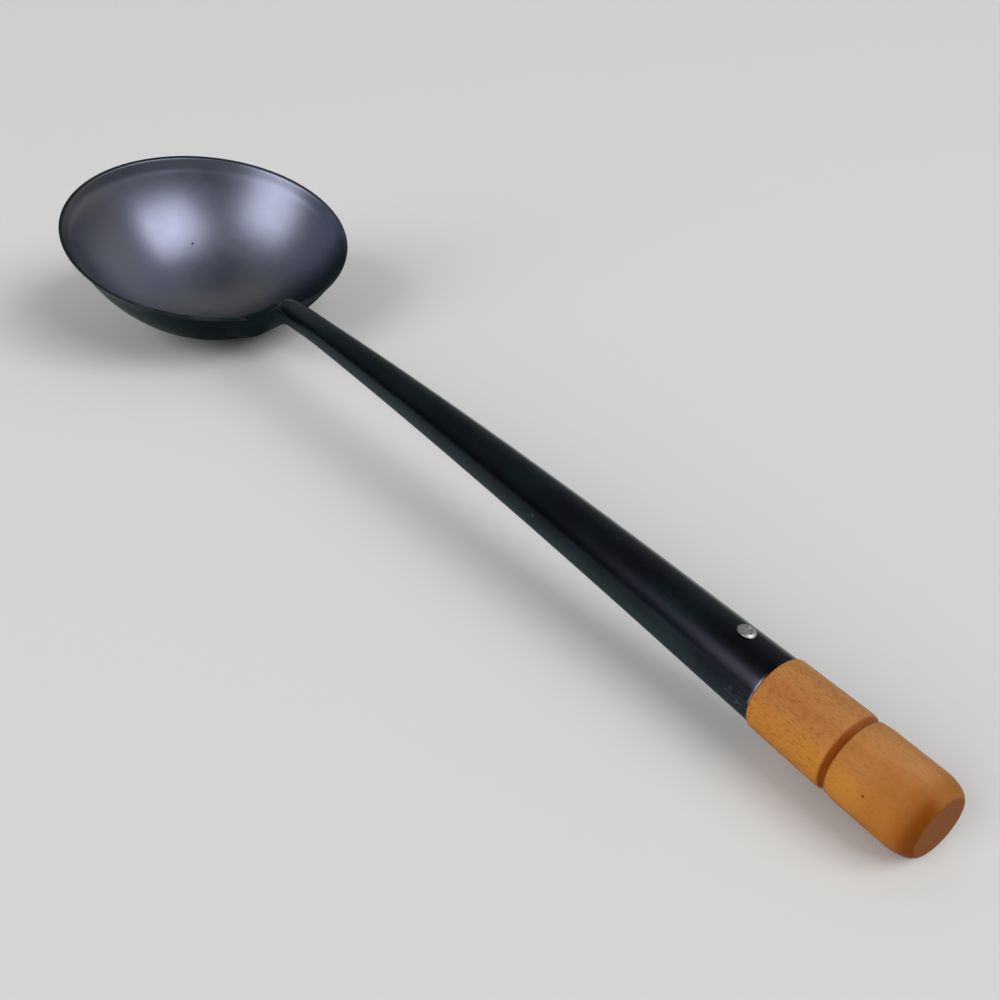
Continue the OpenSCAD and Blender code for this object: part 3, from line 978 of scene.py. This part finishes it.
beechLook = {
    "paintedSheenLight": colour(0.472, 0.222, 0.075),
    "paintedSheenDark": colour(0.372, 0.158, 0.048),
    "light": colour(0.440, 0.184, 0.053),
    "dark": colour(0.350, 0.132, 0.033),
    "paintedBounceLight": colour(0.525, 0.207, 0.031),
    "fleck": colour(0.205, 0.066, 0.012),
    "groove": colour(0.185, 0.036, 0.001),
    "rear": colour(0.345, 0.110, 0.016),
    "tip": colour(0.275, 0.095, 0.018),
    "tipLow": colour(0.225, 0.062, 0.004),
    "tipDeep": colour(0.140, 0.031, 0.001),
    "end": colour(0.170, 0.045, 0.004),
    "endLight": colour(0.255, 0.078, 0.010),
    "grainTurn": 0.0886,
    "grainScale": (14, 150, 150),
    "grain": (1, 3),
    "bandScale": (5, 55, 55),
    "bands": (1, 2),
    "fibreScale": (90, 2200, 2200),
    "fibre": (1, 2),
    "rayScale": (470, 1700, 1700),
    "toneShares": (0.4, 0.4, 0.2),
    "toneSpan": (0.34, 0.66),
    "flankSpan": (0.001, 0.007),
    "paintedBounceSpan": (0.0085, 0.0115),
    "paintedBounceShare": 0.75,
    "raySpan": (0.12, 0.50),
    "fleckAlong": (20, 32),
    "fleckLess": 0.5,
    "fleckShare": 0.5,
    "groovePast": 0.1,
    "grooveShadeSpan": (0.7, 1.6),
    "grooveShadeShare": 0.76,
    "grooveShadeFlank": 0.2,
    "rearAlong": (33.6, 41.6),
    "rearShare": 0.5,
    "tipAlong": (44.1, 51.6),
    "tipShare": 0.85,
    "tipDeepAlong": (48.6, 52.2),
    "tipDeepShare": 0.75,
    "pith": (0.0, 0.026, -0.008),
    "yearScale": 3300,
    "yearWave": 6,
    "yearShare": 0.3,
    "pores": (2600, 2),
    "poreSpan": (0.5, 0.68),
    "poreShare": 0.35,
    "endLeast": 0.3,
    "endAlong": (52.7, 52.93),
    "endShare": 0.95,
    "pitSpan": (0.0002, 0.0006),
    "rough": 0.5,
    "roughGrain": 0.15,
    "roughFleck": 0.1,
    "reliefShares": (0.6, 0.3, 0.5),
    "bump": (0.12, 0.0005),
    "shine": 0.05,
}


def beech():
    # grain along the axis, with a painted sheen paler on top and painted bounce light warmer on the near
    # flank, ray flecks, a groove darkened as painted shade, a darkening tip and year rings on the end
    material, shader, wire, place = newFinish("beech")
    look = beechLook
    grain = noise(wire, mapped(wire, place, look["grainTurn"], look["grainScale"]), *look["grain"])
    bands = noise(wire, mapped(wire, place, look["grainTurn"], look["bandScale"]), *look["bands"])
    fibre = noise(wire, mapped(wire, place, look["grainTurn"], look["fibreScale"]), *look["fibre"])
    cells = {"Vector": mapped(wire, place, look["grainTurn"], look["rayScale"]), "Scale": 1.0}
    ray = wire.node("ShaderNodeTexVoronoi", {"feature": "F1"}, cells, "Distance")
    along = mark(wire, "along")
    near = 0 - place.part(1)
    flank = near.span(*look["flankSpan"])
    grainShare, bandShare, fibreShare = look["toneShares"]
    tone = (grain * grainShare + bands * bandShare + fibre * fibreShare).span(*look["toneSpan"])
    # the top painted paler as sheen; the near flank keeps the plain wood colours
    pale = tone.blend(look["paintedSheenLight"], look["paintedSheenDark"])
    wood = flank.blend(pale, tone.blend(look["light"], look["dark"]))
    # painted bounce light from the table, warmer on the lowest part of the near flank
    wood = (near.span(*look["paintedBounceSpan"]) * look["paintedBounceShare"]).blend(wood, look["paintedBounceLight"])
    fleck = (1 - ray.span(*look["raySpan"])) * (1 - along.span(*look["fleckAlong"]) * look["fleckLess"])
    wood = (fleck * look["fleckShare"]).blend(wood, look["fleck"])
    # painted shade in the groove, deeper on the near flank
    off = along - (grip["groovePos"] + look["groovePast"])
    cut = 1 - off.math("ABSOLUTE", off).span(*look["grooveShadeSpan"])
    wood = (cut * (look["grooveShadeShare"] + flank * look["grooveShadeFlank"])).blend(wood, look["groove"])
    wood = (along.span(*look["rearAlong"]) * flank * look["rearShare"]).blend(wood, look["rear"])
    tip = flank.blend(look["tip"], look["tipLow"])
    wood = (along.span(*look["tipAlong"]) * look["tipShare"]).blend(wood, tip)
    wood = (along.span(*look["tipDeepAlong"]) * flank * look["tipDeepShare"]).blend(wood, look["tipDeep"])
    sideways = mapped(wire, place, 0, (0, 1, 1))
    years = distance(wire, sideways, look["pith"]) * look["yearScale"] + bands * look["yearWave"]
    pores = noise(wire, place, *look["pores"]).span(*look["poreSpan"])
    rings = years.math("SINE", years) * look["yearShare"] + pores * look["poreShare"] + look["endLeast"]
    endWood = rings.blend(look["end"], look["endLight"])
    wood = (along.span(*look["endAlong"]) * look["endShare"]).blend(wood, endWood)
    wood = nearTo(wire, place, gripPit(), *look["pitSpan"]).blend(wood, look["groove"])
    rough = look["rough"] + grain.sway(look["roughGrain"]) + fleck * look["roughFleck"]
    grainRise, fibreRise, fleckFall = look["reliefShares"]
    height = grain * grainRise + fibre * fibreRise - fleck * fleckFall
    links = {"Base Color": wood, "Roughness": rough, "Normal": bump(wire, height, *look["bump"])}
    setFinish(wire, shader, {"Specular IOR Level": look["shine"]}, links)
    return material


brightLook = {
    "clean": colour(0.40, 0.41, 0.41),
    "dirty": colour(0.14, 0.14, 0.14),
    "dirt": (1500, 2),
    "dirtSpan": (0.5, 0.7),
    "fine": (900, 3, 0.6),
    "rough": 0.3,
    "roughFine": 0.2,
}


def brightSteel():
    # clean metal with dirt in patches
    material, shader, wire, place = newFinish("brightSteel")
    look = brightLook
    dirt = noise(wire, place, *look["dirt"]).span(*look["dirtSpan"])
    rough = look["rough"] + noise(wire, place, *look["fine"]) * look["roughFine"]
    links = {"Base Color": dirt.blend(look["clean"], look["dirty"]), "Roughness": rough}
    setFinish(wire, shader, {"Metallic": 1.0}, links)
    return material


def dress(piece, material, node):
    piece.data.materials.append(material)
    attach(piece, "root")
    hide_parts(node)


black = blackSteel()
dress(makeBowl(), bluedSteel(), "bowl")
dress(makeTube(), black, "handle_tube")
dress(makeFillet(), black, "neck_weld")
dress(makeGrip(), beech(), "grip")
dress(makeNail(), brightSteel(), "grip_nail")
print("pieces dressed")

# room, in metres: a pale table top, a dim world and two large windows of light
room = {
    "tableHalf": 20.0,
    "table": colour(0.704, 0.708, 0.700),
    "tableRough": 0.6,
    "tableShine": 0.2,
    "worldLow": 0.075,
    "worldHigh": 0.25,
    "worldHighSpan": (0.1, 0.7),
    "worldSide": 0.22,
    "worldSideSpan": (0.2, 0.9),
    "worldTop": 0.23,
    "worldTopSpan": (0.88, 1.0),
    "windowTarget": (-0.05, 0.0, 0.02),
    "windowDistance": 30.0,
}
windows = {
    "rightWindow": {"azimuth": 26, "elevation": 45.5, "width": 24.4, "height": 17.6, "power": 5500},
    "leftWindow": {"azimuth": -82, "elevation": 28, "width": 21.6, "height": 26.0, "power": 6300},
}


def makeTable():
    mesh = bpy.data.meshes.new("tableTop")
    h = room["tableHalf"]
    mesh.from_pydata([(-h, -h, 0), (h, -h, 0), (h, h, 0), (-h, h, 0)], [], [(0, 1, 2, 3)])
    table = bpy.data.objects.new("tableTop", mesh)
    scene.collection.objects.link(table)
    material, shader, wire, _ = newFinish("paleTable")
    constants = {"Base Color": room["table"], "Roughness": room["tableRough"]}
    constants["Specular IOR Level"] = room["tableShine"]
    setFinish(wire, shader, constants, {})
    mesh.materials.append(material)


def makeWindow(name, window):
    # an area lamp at that direction from the target, facing it
    a, e = np.radians(window["azimuth"]), np.radians(window["elevation"])
    away = Vector((np.cos(a) * np.cos(e), np.sin(a) * np.cos(e), np.sin(e)))
    lamp = bpy.data.lights.new(name, "AREA")
    lamp.shape, lamp.size, lamp.size_y = "RECTANGLE", window["width"], window["height"]
    lamp.energy = window["power"]
    holder = bpy.data.objects.new(name, lamp)
    holder.location = Vector(room["windowTarget"]) + away * room["windowDistance"]
    holder.rotation_euler = away.to_track_quat("Z", "Y").to_euler()
    scene.collection.objects.link(holder)


def makeWorld():
    # dark near the level, lighter above and towards +Y, dimmer straight overhead
    world = bpy.data.worlds.new("dimRoom")
    world.use_nodes = True
    wire = Wire(world.node_tree)
    way = wire.node("ShaderNodeTexCoord", {}, {}, "Object")
    level = room["worldLow"] + way.part(2).span(*room["worldHighSpan"]) * room["worldHigh"]
    level = level - way.part(2).span(*room["worldTopSpan"]) * room["worldTop"]
    level = level + way.part(1).span(*room["worldSideSpan"]) * room["worldSide"]
    background = world.node_tree.nodes["Background"]
    setFinish(wire, background, {"Color": colour(1, 1, 1)}, {"Strength": level})
    scene.world = world


makeTable()
makeWorld()
for windowName, windowLook in windows.items():
    makeWindow(windowName, windowLook)

# camera: its place in metres, its right, up and forward directions, and its focal length and sensor in mm
lens = {
    "place": (0.324479, -0.215046, 0.228746),
    "right": (0.598471, 0.800613, 0.029169),
    "up": (-0.433458, 0.292967, 0.852223),
    "forward": (-0.673755, 0.522675, -0.522364),
    "focal": 45.3964,
    "sensor": 36.0,
    "nearest": 0.01,
}


def makeCamera():
    camera = bpy.data.cameras.new("photoCamera")
    camera.sensor_width, camera.lens, camera.clip_start = lens["sensor"], lens["focal"], lens["nearest"]
    holder = bpy.data.objects.new("photoCamera", camera)
    scene.collection.objects.link(holder)
    columns = [Vector(lens["right"]), Vector(lens["up"]), -Vector(lens["forward"])]
    turned = Matrix(columns).transposed().to_4x4()
    holder.matrix_world = Matrix.Translation(lens["place"]) @ turned
    scene.camera = holder


makeCamera()
print("room and camera made")
